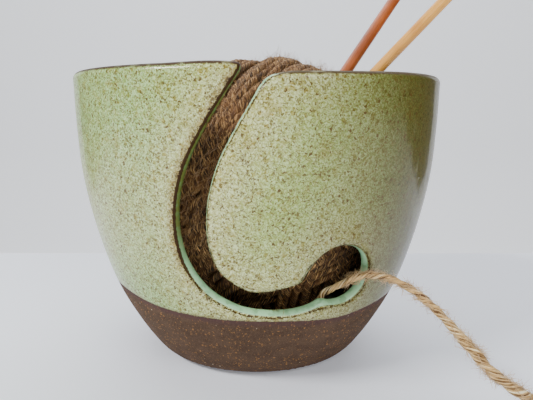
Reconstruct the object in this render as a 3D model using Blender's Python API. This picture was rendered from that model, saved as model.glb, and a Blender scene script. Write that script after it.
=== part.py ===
"""Yarn bowl: a wheel-thrown ceramic bowl with a curved yarn slot, a ball of jute yarn in it,
the working yarn led out through the slot's round end, and two knitting needles stuck in the ball.

Metres, +Z up. The origin is on the bowl's axis, on the plane that its foot stands on.
The slot faces -Y. An azimuth is measured about +Z from -Y, positive towards +X.
"""

import math

import bmesh
import bpy
import numpy as np
from mathutils import Matrix, Vector

MM = 0.001
GAP = 0.3 * MM                       # clearance between neighbouring solids

# ---- bowl ----
RIM_HEIGHT = 115.2 * MM
WALL = 5.3 * MM
FLOOR = 8.0 * MM
FOOT_BEVEL = 1.2 * MM
OUTSIDE = [(0, 39.3), (3, 43.3), (8, 47.4), (16, 52.7), (30, 60.2),
           (50, 67.2), (75, 72.7), (95, 74.4), (115.2, 75.0)]     # height, radius in mm
RIM_UNEVEN = [(-180, 0.0), (-90, 1.0), (-25, 0.8), (-5, 0.7), (5, -2.0),
              (20, -1.7), (45, -1.0), (90, -0.8), (180, 0.0)]     # azimuth, rise of the rim in mm
RIM_EASE = 60.0 * MM                 # the rim's unevenness dies out below this height
BOWL_SEGMENTS = 84
RIM_STEPS = 4

# ---- yarn slot: its left and right edges on the outside of the wall, as azimuth and height in mm ----
SLOT_EDGES = [((-0.8, 119.0), (13.0, 117.5)), ((-3.1, 115.0), (5.6, 113.6)),
              ((-4.7, 111.6), (1.6, 110.2)), ((-8.1, 105.2), (-1.8, 103.5)),
              ((-13.4, 94.7), (-6.6, 93.1)), ((-18.0, 84.0), (-10.2, 83.9)),
              ((-21.1, 72.5), (-13.0, 72.3)), ((-22.3, 60.7), (-13.9, 61.0)),
              ((-20.9, 49.5), (-12.7, 51.6)), ((-15.4, 39.6), (-9.2, 45.2)),
              ((-6.5, 33.4), (-3.0, 40.7)), ((1.4, 31.4), (2.0, 40.0)),
              ((8.6, 31.0), (8.6, 41.4)), ((15.0, 31.6), (13.6, 43.2)),
              ((20.5, 33.8), (16.2, 46.5)), ((25.0, 39.0), (21.5, 49.5))]
SLOT_STEPS = 4                       # cutter sections between two points of an edge
HOLE_AZIMUTH = 26.85                 # degrees
HOLE_HEIGHT = 44.5 * MM
HOLE_RADIUS = 11.9 * MM
HOLE_SIDES = 40
CUT_CLEAR = 4.0 * MM                 # how far a cutter stands proud of both faces of the wall

# ---- yarn ----
YARN_DIAMETER = 3.0 * MM
BALL_RADIUS = 57.5 * MM
BALL_CENTRE = Vector((0, 0, FLOOR + GAP + BALL_RADIUS))
ROUTE = [(2.0, -45.2, 28.3), (11.0, -46.8, 28.2), (18.0, -48.0, 29.6), (22.0, -48.2, 32.4),
         (24.4, -48.2, 35.6), (27.2, -50.1, 37.9), (33.0, -53.0, 42.0), (37.5, -53.6, 43.9),
         (42.0, -55.2, 44.4), (46.5, -58.0, 44.0), (51.0, -62.2, 42.5), (57.0, -69.5, 38.6),
         (63.7, -79.5, 31.5), (71.0, -86.0, 23.5), (79.3, -87.0, 17.3), (88.0, -84.0, 11.8),
         (97.0, -82.2, 7.4), (106.0, -82.6, 4.0), (114.5, -85.2, 2.2), (122.5, -89.4, 1.8),
         (130.0, -91.7, 1.8)]    # mm, ball to coil
ROUTE_SAMPLES = 60
TUBE_RESOLUTION = 2
COIL_CENTRE = Vector((130.0, -113.3, 0)) * MM
COIL_RADIUS = 16.5 * MM              # at the middle of the turns
COIL_SECTION = 6.0 * MM              # two turns wide and two turns high
COIL_SEGMENTS = 32

# ---- needles ----
NEEDLE_LENGTH = 230.0 * MM
NEEDLE_RADIUS = 2.5 * MM
NEEDLE_POINT = 12.0 * MM
NEEDLE_TIP_RADIUS = 0.7 * MM
NEEDLE_SIDES = 20
BORE_CLEAR = 0.4 * MM
CAP_RADIUS = 5.5 * MM
CAP_HEIGHT = 9.0 * MM
CAP_SOCKET = 6.0 * MM
NEEDLES = {                          # a point on the axis above the ball, direction, depth in the ball
    "needle_left": (Vector((39.7, 8.0, 119.2)) * MM, Vector((0.526, 0.461, 0.715)), 68.0 * MM),
    "needle_right": (Vector((54.5, 14.0, 119.6)) * MM, Vector((0.689, 0.0, 0.725)), 76.0 * MM),
}


# ---------------------------------------------------------------- scene helpers

def clear_scene():
    for item in list(bpy.data.objects):
        bpy.data.objects.remove(item, do_unlink=True)


def make_material(name, colour, roughness, metallic=0.0):
    material = bpy.data.materials.new(name)
    material.use_nodes = True
    shader = material.node_tree.nodes["Principled BSDF"]
    shader.inputs["Base Color"].default_value = (*colour, 1.0)
    shader.inputs["Roughness"].default_value = roughness
    shader.inputs["Metallic"].default_value = metallic
    return material


def add_object(name, data, material=None):
    item = bpy.data.objects.new(name, data)
    bpy.context.scene.collection.objects.link(item)
    if material:
        data.materials.append(material)
    return item


def mesh_from_bmesh(name, shape):
    """Turn a closed shape into a mesh, with its faces pointing outwards."""
    bmesh.ops.recalc_face_normals(shape, faces=shape.faces)
    if shape.calc_volume(signed=True) < 0:
        bmesh.ops.reverse_faces(shape, faces=shape.faces)
    mesh = bpy.data.meshes.new(name)
    shape.to_mesh(mesh)
    shape.free()
    return mesh


def round_shading(mesh, angle=40.0):
    mesh.shade_smooth()
    mesh.set_sharp_from_angle(angle=math.radians(angle))


def hide_cutter(cutter):
    cutter.hide_render = True
    cutter.display_type = "WIRE"


def cut(item, cutter):
    boolean = item.modifiers.new(cutter.name, "BOOLEAN")
    boolean.operation = "DIFFERENCE"
    boolean.solver = "EXACT"
    boolean.object = cutter
    hide_cutter(cutter)


# ---------------------------------------------------------------- curves and turned shapes

def smooth_value(points, at):
    """Monotone cubic through (x, y) points, read at one place or at an array of them."""
    x, y = np.array(points, float).T
    step = np.diff(x)
    slope = np.diff(y) / step
    tangent = np.concatenate([slope[:1], (slope[1:] + slope[:-1]) / 2, slope[-1:]])
    turning = slope[1:] * slope[:-1] <= 0
    tangent[1:-1][turning] = 0
    at = np.clip(at, x[0], x[-1])
    i = np.clip(np.searchsorted(x, at, side="right") - 1, 0, len(x) - 2)
    t = (at - x[i]) / step[i]
    return ((1 + 2 * t) * (1 - t) ** 2 * y[i] + t * (1 - t) ** 2 * step[i] * tangent[i]
            + t * t * (3 - 2 * t) * y[i + 1] + t * t * (t - 1) * step[i] * tangent[i + 1])


def smooth_curve(points, samples):
    """Points evenly spaced along a centripetal Catmull-Rom curve through the given ones."""
    points = np.array(points, float)
    points = np.vstack([2 * points[0] - points[1], points, 2 * points[-1] - points[-2]])
    knots = np.concatenate([[0], np.cumsum(np.linalg.norm(np.diff(points, axis=0), axis=1) ** 0.5)])
    dense = []
    for i in range(1, len(points) - 2):
        for t in np.linspace(knots[i], knots[i + 1], 20, endpoint=i == len(points) - 3):
            layer = [points[i - 1], points[i], points[i + 1], points[i + 2]]
            for level in (1, 2, 3):
                layer = [((knots[i + j + level - 1] - t) * layer[j] + (t - knots[i + j - 1]) * layer[j + 1])
                         / (knots[i + j + level - 1] - knots[i + j - 1]) for j in range(4 - level)]
            dense.append(layer[0])
    dense = np.array(dense)
    length = np.concatenate([[0], np.cumsum(np.linalg.norm(np.diff(dense, axis=0), axis=1))])
    at = np.linspace(0, length[-1], samples)
    return np.stack([np.interp(at, length, dense[:, k]) for k in range(3)], axis=1)


def turned(name, profile, segments):
    """Revolve (radius, height) points about Z. Points at radius 0 become poles; the rest make rings."""
    shape = bmesh.new()
    rings = []
    for radius, height in profile:
        count = 1 if radius == 0 else segments
        rings.append([shape.verts.new((radius * math.sin(2 * math.pi * k / segments),
                                       -radius * math.cos(2 * math.pi * k / segments), height))
                      for k in range(count)])
    closed = len(rings[0]) > 1
    for low, high in zip(rings, rings[1:] + rings[:1] if closed else rings[1:]):
        for k in range(segments):
            corners = [low[k % len(low)], low[(k + 1) % len(low)],
                       high[(k + 1) % len(high)], high[k % len(high)]]
            shape.faces.new(list(dict.fromkeys(corners)))
    return mesh_from_bmesh(name, shape)


# ---------------------------------------------------------------- bowl

def outside_radius(height):
    return smooth_value(OUTSIDE, height / MM) * MM


def wall_slope(height):
    step = 0.5 * MM
    low = min(max(height - step, 0.0), RIM_HEIGHT - 2 * step)
    return float(outside_radius(low + 2 * step) - outside_radius(low)) / (2 * step)


def wall_point(azimuth, height, depth):
    """A point of the wall at an azimuth in degrees, a depth inwards from its outside."""
    radius = float(outside_radius(height))
    lean = math.atan(wall_slope(height))
    radius -= depth * math.cos(lean)
    angle = math.radians(azimuth)
    return Vector((radius * math.sin(angle), -radius * math.cos(angle), height + depth * math.sin(lean)))


def bowl_profile():
    heights = [3, 8, 16, 24, 33, 43, 54, 66, 78, 90, 102]
    foot = float(outside_radius(0.0))
    outside = [(float(outside_radius(h * MM)), h * MM) for h in heights]
    middle = float(outside_radius(RIM_HEIGHT)) - WALL / 2
    round_height = RIM_HEIGHT - WALL / 2
    rim = []
    for k in range(RIM_STEPS + 1):
        turn = math.pi * k / RIM_STEPS
        rim.append((middle + WALL / 2 * math.cos(turn), round_height + WALL / 2 * math.sin(turn)))
    inside = []
    for h in reversed(heights[2:]):
        point = wall_point(0, h * MM, WALL)
        inside.append((-point.y, point.z))
    edge = inside[-1][0]
    hollow = [(edge - 4.5 * MM, 12.5 * MM), (edge - 9.5 * MM, 9.2 * MM), (edge - 16.0 * MM, FLOOR)]
    bottom = [(0, 0), (foot - FOOT_BEVEL, 0), (foot + 0.5 * FOOT_BEVEL, FOOT_BEVEL)]
    return bottom + outside + rim + inside + hollow + [(0, FLOOR)]


def lift_rim(mesh):
    for vertex in mesh.vertices:
        azimuth = math.degrees(math.atan2(vertex.co.x, -vertex.co.y))
        share = min(max((vertex.co.z - RIM_EASE) / (RIM_HEIGHT - RIM_EASE), 0.0), 1.0)
        rise = float(smooth_value(RIM_UNEVEN, azimuth)) * MM
        vertex.co.z += rise * share * share * (3 - 2 * share)


def slot_cutter():
    """A ribbon through the wall between the slot's two edges, square to the wall all along."""
    count = SLOT_STEPS * (len(SLOT_EDGES) - 1) + 1
    at = np.linspace(0, len(SLOT_EDGES) - 1, count)
    edges = np.array(SLOT_EDGES).reshape(len(SLOT_EDGES), 4)
    index = np.arange(len(SLOT_EDGES))
    columns = [smooth_value(np.stack([index, edges[:, k]], axis=1), at) for k in range(4)]
    shape = bmesh.new()
    sections = []
    for left_az, left_z, right_az, right_z in zip(*columns):
        sections.append([shape.verts.new(wall_point(left_az, left_z * MM, -CUT_CLEAR)),
                         shape.verts.new(wall_point(right_az, right_z * MM, -CUT_CLEAR)),
                         shape.verts.new(wall_point(right_az, right_z * MM, WALL + CUT_CLEAR)),
                         shape.verts.new(wall_point(left_az, left_z * MM, WALL + CUT_CLEAR))])
    shape.faces.new(sections[0])
    shape.faces.new(sections[-1])
    for here, beyond in zip(sections, sections[1:]):
        for k in range(4):
            shape.faces.new([here[k], here[(k + 1) % 4], beyond[(k + 1) % 4], beyond[k]])
    bmesh.ops.triangulate(shape, faces=shape.faces)
    return add_object("slot_cutter", mesh_from_bmesh("slot_cutter", shape))


def rod_between(name, start, end, radius, sides):
    """A plain cylinder from one point to another, as a mesh at the world's origin."""
    shape = bmesh.new()
    bmesh.ops.create_cone(shape, cap_ends=True, segments=sides, radius1=radius, radius2=radius,
                          depth=(end - start).length)
    turn = (end - start).to_track_quat("Z", "Y").to_matrix().to_4x4()
    shape.transform(Matrix.Translation((start + end) / 2) @ turn)
    return add_object(name, mesh_from_bmesh(name, shape))


def make_bowl():
    mesh = turned("bowl", bowl_profile(), BOWL_SEGMENTS)
    lift_rim(mesh)
    bowl = add_object("bowl", mesh, make_material("glaze", (0.52, 0.58, 0.37), 0.28))
    outer = wall_point(HOLE_AZIMUTH, HOLE_HEIGHT, -CUT_CLEAR)
    inner = wall_point(HOLE_AZIMUTH, HOLE_HEIGHT, WALL + CUT_CLEAR)
    cut(bowl, slot_cutter())
    cut(bowl, rod_between("hole_cutter", inner, outer, HOLE_RADIUS, HOLE_SIDES))
    round_shading(mesh)
    return bowl


# ---------------------------------------------------------------- yarn

def make_ball(jute):
    profile = [(0, -BALL_RADIUS)]
    rows = 24
    for k in range(1, rows):
        turn = math.pi * k / rows
        profile.append((BALL_RADIUS * math.sin(turn), -BALL_RADIUS * math.cos(turn)))
    profile.append((0, BALL_RADIUS))
    mesh = turned("yarn_ball", profile, 2 * rows)
    ball = add_object("yarn_ball", mesh, jute)
    ball.location = BALL_CENTRE
    for name in NEEDLES:
        tip, direction = needle_tip(name)
        bottom = tip - direction * BORE_CLEAR
        top = tip + direction * (BALL_RADIUS * 2)
        cut(ball, rod_between(name + "_bore", bottom, top, NEEDLE_RADIUS + BORE_CLEAR, NEEDLE_SIDES))
    round_shading(mesh)
    return ball


def make_working_yarn(jute):
    curve = bpy.data.curves.new("working_yarn", "CURVE")
    curve.dimensions = "3D"
    curve.bevel_depth = YARN_DIAMETER / 2
    curve.bevel_resolution = TUBE_RESOLUTION
    curve.use_fill_caps = True
    points = smooth_curve(ROUTE, ROUTE_SAMPLES) * MM
    spline = curve.splines.new("POLY")
    spline.points.add(len(points) - 1)
    for place, point in zip(spline.points, points):
        place.co = (*point, 1.0)
    return add_object("working_yarn", curve, jute)


def make_yarn_coil(jute):
    """The outer shape of the wound-up end: a ring of four turns, two by two, lying flat."""
    half = COIL_SECTION / 2
    corner = 0.3 * COIL_SECTION
    profile = [(COIL_RADIUS - half, corner), (COIL_RADIUS - half + corner, 0),
               (COIL_RADIUS + half - corner, 0), (COIL_RADIUS + half, corner),
               (COIL_RADIUS + half, COIL_SECTION - corner), (COIL_RADIUS + half - corner, COIL_SECTION),
               (COIL_RADIUS - half + corner, COIL_SECTION), (COIL_RADIUS - half, COIL_SECTION - corner)]
    mesh = turned("yarn_coil", profile, COIL_SEGMENTS)
    coil = add_object("yarn_coil", mesh, jute)
    coil.location = COIL_CENTRE
    round_shading(mesh)
    return coil


# ---------------------------------------------------------------- needles

def needle_tip(name):
    """The needle's tip, its stated depth along its axis from where it enters the ball."""
    point, direction, depth = NEEDLES[name]
    direction = direction.normalized()
    along = (BALL_CENTRE - point).dot(direction)
    nearest = point + direction * along
    half_chord = math.sqrt(BALL_RADIUS ** 2 - (nearest - BALL_CENTRE).length_squared)
    return nearest + direction * (half_chord - depth), direction


def make_needle(name, colour, ball):
    tip, direction = needle_tip(name)
    shaft_profile = [(0, 0), (NEEDLE_TIP_RADIUS, 0.3 * MM), (0.8 * NEEDLE_RADIUS, 0.65 * NEEDLE_POINT),
                     (NEEDLE_RADIUS, NEEDLE_POINT), (NEEDLE_RADIUS, NEEDLE_LENGTH), (0, NEEDLE_LENGTH)]
    wood = make_material(name + "_wood", colour, 0.45)
    shaft_mesh = turned(name + "_shaft", shaft_profile, NEEDLE_SIDES)
    shaft = add_object(name + "_shaft", shaft_mesh, wood)
    shaft.location = tip - ball.location
    shaft.rotation_mode = "QUATERNION"
    shaft.rotation_quaternion = direction.to_track_quat("Z", "Y")
    shaft.parent = ball
    cap_mesh = turned(name + "_cap", cap_profile(), NEEDLE_SIDES)
    cap = add_object(name + "_cap", cap_mesh, make_material(name + "_cap_wood", colour, 0.4))
    cap.location = (0, 0, NEEDLE_LENGTH + GAP - CAP_SOCKET)
    cap.parent = shaft
    round_shading(shaft_mesh)
    round_shading(cap_mesh)


def cap_profile():
    """A turned knob, open below, with a socket that the shaft's end is glued into."""
    socket = NEEDLE_RADIUS + GAP
    return [(0, CAP_SOCKET), (socket, CAP_SOCKET), (socket, 0), (0.68 * CAP_RADIUS, 0),
            (0.92 * CAP_RADIUS, 0.16 * CAP_HEIGHT), (CAP_RADIUS, 0.42 * CAP_HEIGHT),
            (0.9 * CAP_RADIUS, 0.74 * CAP_HEIGHT), (0.6 * CAP_RADIUS, 0.95 * CAP_HEIGHT), (0, CAP_HEIGHT)]


def main():
    clear_scene()
    jute = make_material("jute", (0.43, 0.29, 0.15), 0.9)
    make_bowl()
    ball = make_ball(jute)
    make_working_yarn(jute)
    make_yarn_coil(jute)
    make_needle("needle_left", (0.50, 0.30, 0.17), ball)
    make_needle("needle_right", (0.74, 0.56, 0.33), ball)


main()
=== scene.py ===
"""Looks for the yarn bowl: a speckled stoneware glaze, wound jute, its plied working yarn, bamboo needles.

Metres, +Z up. The origin is on the bowl's axis, on the plane that its foot stands on. The slot faces -Y.
An azimuth is measured about +Z from -Y, positive towards +X, in degrees.
"""

import math

import bmesh
import bpy
import numpy as np
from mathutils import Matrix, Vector
from mathutils.kdtree import KDTree


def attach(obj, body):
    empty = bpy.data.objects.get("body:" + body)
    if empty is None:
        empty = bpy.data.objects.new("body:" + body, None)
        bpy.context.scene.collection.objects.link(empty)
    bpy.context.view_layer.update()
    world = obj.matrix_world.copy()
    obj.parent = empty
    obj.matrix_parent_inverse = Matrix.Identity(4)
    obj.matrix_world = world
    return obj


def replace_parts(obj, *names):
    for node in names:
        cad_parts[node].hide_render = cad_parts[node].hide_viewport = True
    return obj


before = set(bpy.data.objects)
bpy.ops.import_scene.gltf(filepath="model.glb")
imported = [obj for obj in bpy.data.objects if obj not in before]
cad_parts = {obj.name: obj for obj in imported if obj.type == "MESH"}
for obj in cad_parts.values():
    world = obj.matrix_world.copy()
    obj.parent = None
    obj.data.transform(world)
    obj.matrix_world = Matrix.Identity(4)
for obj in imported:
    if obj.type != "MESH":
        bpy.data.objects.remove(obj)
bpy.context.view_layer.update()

MM = 0.001

# ---- camera ----
CAMERA_PLACE = (0.0, -0.24223, 0.10052)
CAMERA_PITCH = 8.926                 # degrees below level
CAMERA_LENS = 37.32
CAMERA_SHIFT = 0.0184

# ---- bowl, in mm ----
RIM_HEIGHT = 115.2
WALL = 5.3
FLOOR = 8.0
FOOT_BEVEL = 1.2
OUTSIDE = [(0, 39.3), (3, 43.3), (8, 47.4), (16, 52.7), (30, 60.2),
           (50, 67.2), (75, 72.7), (95, 74.4), (115.2, 75.0)]     # height, radius
RIM_UNEVEN = [(-180, 0.0), (-90, 1.0), (-25, 0.8), (-5, 0.7), (5, -2.0),
              (20, -1.7), (45, -1.0), (90, -0.8), (180, 0.0)]     # azimuth, rise of the rim
RIM_EASE = 60.0                      # the rim's unevenness dies out below this height
INNER_WALL_START = 17.0              # above this height the inside runs along the outside
HOLLOW = [(2.2, 14.3), (4.8, 12.0), (8.5, 9.9), (12.5, 8.6), (17.0, FLOOR)]    # below it: step in, height
SLOT_EDGES = [((-0.8, 119.0), (13.0, 117.5)), ((-3.1, 115.0), (5.6, 113.6)),
              ((-4.7, 111.6), (1.6, 110.2)), ((-8.1, 105.2), (-1.8, 103.5)),
              ((-13.4, 94.7), (-6.6, 93.1)), ((-18.0, 84.0), (-10.2, 83.9)),
              ((-21.1, 72.5), (-13.0, 72.3)), ((-22.3, 60.7), (-13.9, 61.0)),
              ((-20.9, 49.5), (-12.7, 51.6)), ((-15.4, 39.6), (-9.2, 45.2)),
              ((-6.5, 33.4), (-3.0, 40.7)), ((1.4, 31.4), (2.0, 40.0)),
              ((8.6, 31.0), (8.6, 41.4)), ((15.0, 31.6), (13.6, 43.2)),
              ((20.5, 33.8), (16.2, 46.5)), ((25.0, 39.0), (21.5, 49.5))]    # left, right: azimuth, height
HOLE_AZIMUTH = 26.85
HOLE_HEIGHT = 44.5
HOLE_RADIUS = 11.9
GLAZE_LINE = [(-180, 30.5), (-90, 33.0), (-59, 33.4), (-35, 30.8), (0, 29.2),
              (12, 28.8), (30, 27.7), (45, 28.9), (90, 30.0), (180, 30.5)]    # azimuth, height
SLOT_SMOOTHING = 8                   # points between two of the slot's own
ARRIS = 1.5                          # how far the glaze rounds a cut edge
WIPED_OUTSIDE = 6.0                  # how far it rounds the place where the slot meets the hole
WIPED_INSIDE = 1.2
LEFT_LINE_FADE = (33.0, 56.0)        # the slot's dark left edge fades in between these heights
GLAZED_WHOLLY = -50.0                # the glaze's border on the inside: below everything
VOXEL = 0.62
BOWL_TRIANGLES = 180000
MAP_STEP = 0.4                       # spacing of the distance maps
SECTION_BOX = ((-1.0, -4.0), (82.0, 124.0))    # the corners of the maps of the wall's section
SLOT_MARGINS = (9.0, 14.0)           # how far the slot's maps reach before and past it
SNAP_PASSES = 4                      # times that the mesh is moved onto the distance field
SNAP_LIMIT = 0.8                     # furthest that a point moves in one of them

# ---- yarn, in mm ----
YARN = 3.0
HAIR_LIFT = 0.15                     # hairs stay this far above the table
BALL_RADIUS = 57.5
BALL_CENTRE = np.array((0.0, 0.0, 65.8))
WINDING_START = 48.8                 # radius of the surface that the modelled turns are wound on
FULL_SIDE = np.array((0.45, -0.30, 0.84))
FULL_RISE = 1.7
FLAT_SIDE = np.array((0.72, -0.52, -0.46))
FLAT_DEPTH = 1.8                     # the ball is a little flat on this side
INNER_BANDS = 12
INNER_TURNS = 7
OUTER_BANDS = [((-0.94, 0.1, 0.33), 5, -40.0), ((-0.34, 0.1, 0.93), 9, -30.0), ((-0.72, -0.1, 0.68), 9, 1.0),
               ((-0.62, -0.25, 0.74), 9, 27.0), ((-0.85, 0.34, 0.39), 8, 0.0),
               ((-0.92, 0.2, 0.33), 4, -33.0)]     # axis, turns, middle of the band along its axis
BANDS_IN_A_PIECE = 6
NESTING = 0.40                       # half a strand, pressed flat, in yarn diameters
STRAND_STEP = 1.25                   # between the points of a wound strand
TURN_PITCH = 0.96                    # between the turns of a band, in yarn diameters
TUCK = 0.05                          # share of its radius that a strand's end is tucked in
TUCK_POINTS = 10
ROUTE = [(2.0, -45.2, 25.8), (11.0, -46.6, 25.4), (18.0, -47.6, 27.6), (22.0, -48.2, 31.8),
         (24.4, -48.2, 35.6), (27.2, -50.1, 37.9), (33.0, -53.0, 42.0), (37.5, -53.6, 43.9),
         (42.0, -55.2, 44.4), (46.5, -58.0, 44.0), (51.0, -62.2, 42.5), (57.0, -69.5, 38.6),
         (63.7, -79.5, 31.5), (71.0, -86.0, 23.5), (79.3, -87.0, 17.3), (88.0, -84.0, 11.8),
         (97.0, -82.2, 7.4), (106.0, -82.6, 4.0), (114.5, -85.2, 2.2), (122.5, -89.4, 1.8),
         (130.0, -91.7, 1.8)]    # ball to coil
COIL_CENTRE = np.array((130.0, -113.3, 0.0))
COIL_OUTER = 18.0
COIL_INNER = 15.0
COIL_MOVES_IN = 360                  # degrees from the coil's start: the second turn lies inside the first,
COIL_CLIMBS = 720                    # the third lies on the second
COIL_MOVES_OUT = (1000, 1080)        # and the last on the first
COIL_END = 1340
LANE_CHANGE = 85                     # degrees that the yarn takes to move in, or up on the turns below
CUT_END = np.linspace(1, 0.55, 6)    # how the yarn thins over its last points
STRAND_SIDES = 8
YARN_SIDES = 14
HAIR_SIDES = 3
HAIR_STEPS = 4
HAIRY_ABOVE = -0.2                   # the ball has no hairs on its underside
HAIRY_DEPTH = 2.5                    # nor on strands that lie deeper than this
YARN_STEP = 0.8                      # between the points of the working yarn
YARN_THICKNESS = [(0, 0.95), (40, 0.85), (60, 0.86), (90, 1.12), (110, 1.16), (150, 1.0), (600, 1.0)]
FUZZY = slice(48, 205)               # the yarn's points with stray fibres, from the lip to the table

# ---- needles, in mm ----
NEEDLES = {                          # a point on the axis above the ball, and its direction
    "needle_left": ((39.7, 8.0, 119.2), (0.526, 0.461, 0.715)),
    "needle_right": ((54.5, 14.0, 119.6), (0.689, 0.0, 0.725)),
}
NEEDLE_ROOM = 4.1                    # strands part to this distance from a needle's axis
NEEDLE_PARTING = 12.0                # and do so up to this far above the point given

# ---- stage ----
FLOOR_BACK = 0.149                   # where the table ends behind the bowl, in metres
WARM_DAYLIGHT = (1.0, 0.99, 0.96)
COOL_DAYLIGHT = (0.96, 0.98, 1.0)
WORLD_COLOUR = (0.92, 0.94, 1.0, 1.0)
WORLD_STRENGTH = 0.07


# ---------------- curves and distances

def smooth_value(points, at):
    """Monotone cubic through (x, y) points, read at one place or at an array of them."""
    x, y = np.array(points, float).T
    step = np.diff(x)
    slope = np.diff(y) / step
    tangent = np.concatenate([slope[:1], (slope[1:] + slope[:-1]) / 2, slope[-1:]])
    turning = slope[1:] * slope[:-1] <= 0
    tangent[1:-1][turning] = 0
    at = np.clip(at, x[0], x[-1])
    i = np.clip(np.searchsorted(x, at, side="right") - 1, 0, len(x) - 2)
    t = (at - x[i]) / step[i]
    return ((1 + 2 * t) * (1 - t) ** 2 * y[i] + t * (1 - t) ** 2 * step[i] * tangent[i]
            + t * t * (3 - 2 * t) * y[i + 1] + t * t * (t - 1) * step[i] * tangent[i + 1])


def smooth_curve(points, spacing):
    """Points evenly spaced along a centripetal Catmull-Rom curve through the given ones."""
    points = np.array(points, float)
    points = np.vstack([2 * points[0] - points[1], points, 2 * points[-1] - points[-2]])
    knots = np.concatenate([[0], np.cumsum(np.linalg.norm(np.diff(points, axis=0), axis=1) ** 0.5)])
    dense = []
    for i in range(1, len(points) - 2):
        for t in np.linspace(knots[i], knots[i + 1], 20, endpoint=i == len(points) - 3):
            layer = [points[i - 1], points[i], points[i + 1], points[i + 2]]
            for level in (1, 2, 3):
                layer = [((knots[i + j + level - 1] - t) * layer[j] + (t - knots[i + j - 1]) * layer[j + 1])
                         / (knots[i + j + level - 1] - knots[i + j - 1]) for j in range(4 - level)]
            dense.append(layer[0])
    return even_spacing(np.array(dense), spacing)


def even_spacing(points, spacing):
    """A line of points taken again at even distances along it."""
    length = np.concatenate([[0], np.cumsum(np.linalg.norm(np.diff(points, axis=0), axis=1))])
    at = np.linspace(0, length[-1], max(int(length[-1] / spacing), 2) + 1)
    return np.stack([np.interp(at, length, points[:, k]) for k in range(3)], axis=1)


def smooth_step(value, low, high):
    """0 below low and 1 above high, with an eased rise between them."""
    t = np.clip((value - low) / (high - low), 0, 1)
    return t * t * (3 - 2 * t)


def nearest_on(outline, points):
    """Squared distance from 2D points to a line of points, and how far along it the nearest place is."""
    best = np.full(len(points), np.inf)
    along = np.zeros(len(points))
    done = 0.0
    for start, step in zip(outline[:-1], np.diff(outline, axis=0)):
        length = math.hypot(*step)
        offset = points - start
        t = np.clip(offset @ step / length ** 2, 0, 1)
        gap = offset - t[:, None] * step
        squared = (gap * gap).sum(1)
        closer = squared < best
        best[closer] = squared[closer]
        along[closer] = done + t[closer] * length
        done += length
    return best, along


def inside_of(outline, points):
    """Whether 2D points are inside a closed outline, by counting its crossings."""
    inside = np.zeros(len(points), bool)
    for (x0, y0), (x1, y1) in zip(outline[:-1], outline[1:]):
        if y0 == y1:
            continue
        crosses = (y0 > points[:, 1]) != (y1 > points[:, 1])
        inside ^= crosses & (points[:, 0] < x0 + (points[:, 1] - y0) * (x1 - x0) / (y1 - y0))
    return inside


class Map:
    """A function of 2D points, worked out once on a grid and then read between its points."""

    def __init__(self, low, high, function):
        self.low = np.array(low, float)
        self.count = np.ceil((np.array(high) - self.low) / MAP_STEP).astype(int) + 1
        grid = np.stack(np.meshgrid(*[np.arange(n) for n in self.count], indexing="ij"), axis=-1)
        self.values = function(self.low + grid.reshape(-1, 2) * MAP_STEP).reshape(self.count)

    def __call__(self, points):
        at = np.clip((points - self.low) / MAP_STEP, 0, self.count - 1.001)
        i, j = at.astype(int).T
        u, v = (at - at.astype(int)).T
        table = self.values
        return ((1 - u) * ((1 - v) * table[i, j] + v * table[i, j + 1])
                + u * ((1 - v) * table[i + 1, j] + v * table[i + 1, j + 1]))


# ---------------- the bowl as a distance field

def outside_line():
    """The bowl's outside as (radius, height) points, from the table to a little past the rim."""
    heights = np.linspace(0, RIM_HEIGHT + 6, 160)
    return np.stack([smooth_value(OUTSIDE, heights), heights], axis=1)


def inward(line):
    """Unit vectors square to a (radius, height) line, pointing into the wall."""
    step = np.gradient(line, axis=0)
    step /= np.linalg.norm(step, axis=1)[:, None]
    return np.stack([-step[:, 1], step[:, 0]], axis=1)


def wall_section():
    """The wall cut through, as a closed (radius, height) outline that runs on past the axis."""
    outer = outside_line()
    inner = outer + inward(outer) * WALL
    shoulder = RIM_HEIGHT - WALL / 2
    outer = outer[(outer[:, 1] > FOOT_BEVEL) & (outer[:, 1] < shoulder)]
    inner = inner[(inner[:, 1] > INNER_WALL_START) & (inner[:, 1] < shoulder)][::-1]
    turn = np.linspace(0, math.pi, 17)
    middle = OUTSIDE[-1][1] - WALL / 2
    rim = np.stack([middle + WALL / 2 * np.cos(turn), shoulder + WALL / 2 * np.sin(turn)], axis=1)
    hollow = [(inner[-1][0] - step, height) for step, height in HOLLOW]
    beyond = -20.0
    foot = OUTSIDE[0][1]
    bottom = [(beyond, FLOOR), (beyond, 0.0), (foot - FOOT_BEVEL, 0.0),
              (foot + 0.5 * FOOT_BEVEL, FOOT_BEVEL)]
    section = np.vstack([outer, rim, inner, hollow, bottom])
    return np.vstack([section, section[:1]])


def flat_place(azimuth, height_along, height):
    """A place on the wall, unrolled: distance round it from azimuth 0, and distance up its outside."""
    return np.stack([np.radians(azimuth) * smooth_value(OUTSIDE, height), height_along], axis=1)


def slot_outline():
    """The slot's closed outline on the unrolled wall, down its left edge and back up its right one."""
    edges = np.array(SLOT_EDGES).reshape(len(SLOT_EDGES), 4)
    index = np.arange(len(SLOT_EDGES))
    at = np.linspace(0, index[-1], SLOT_SMOOTHING * index[-1] + 1)
    left_az, left_z, right_az, right_z = [smooth_value(np.stack([index, edges[:, k]], axis=1), at)
                                          for k in range(4)]
    azimuth = np.concatenate([left_az, right_az[::-1], left_az[:1]])
    height = np.concatenate([left_z, right_z[::-1], left_z[:1]])
    return flat_place(azimuth, up_the_wall(height), height)


def up_the_wall(height):
    """Distance up the bowl's outside from its foot to a height."""
    line = outside_line()
    length = np.concatenate([[0], np.cumsum(np.linalg.norm(np.diff(line, axis=0), axis=1))])
    return np.interp(height, line[:, 1], length)


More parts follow.
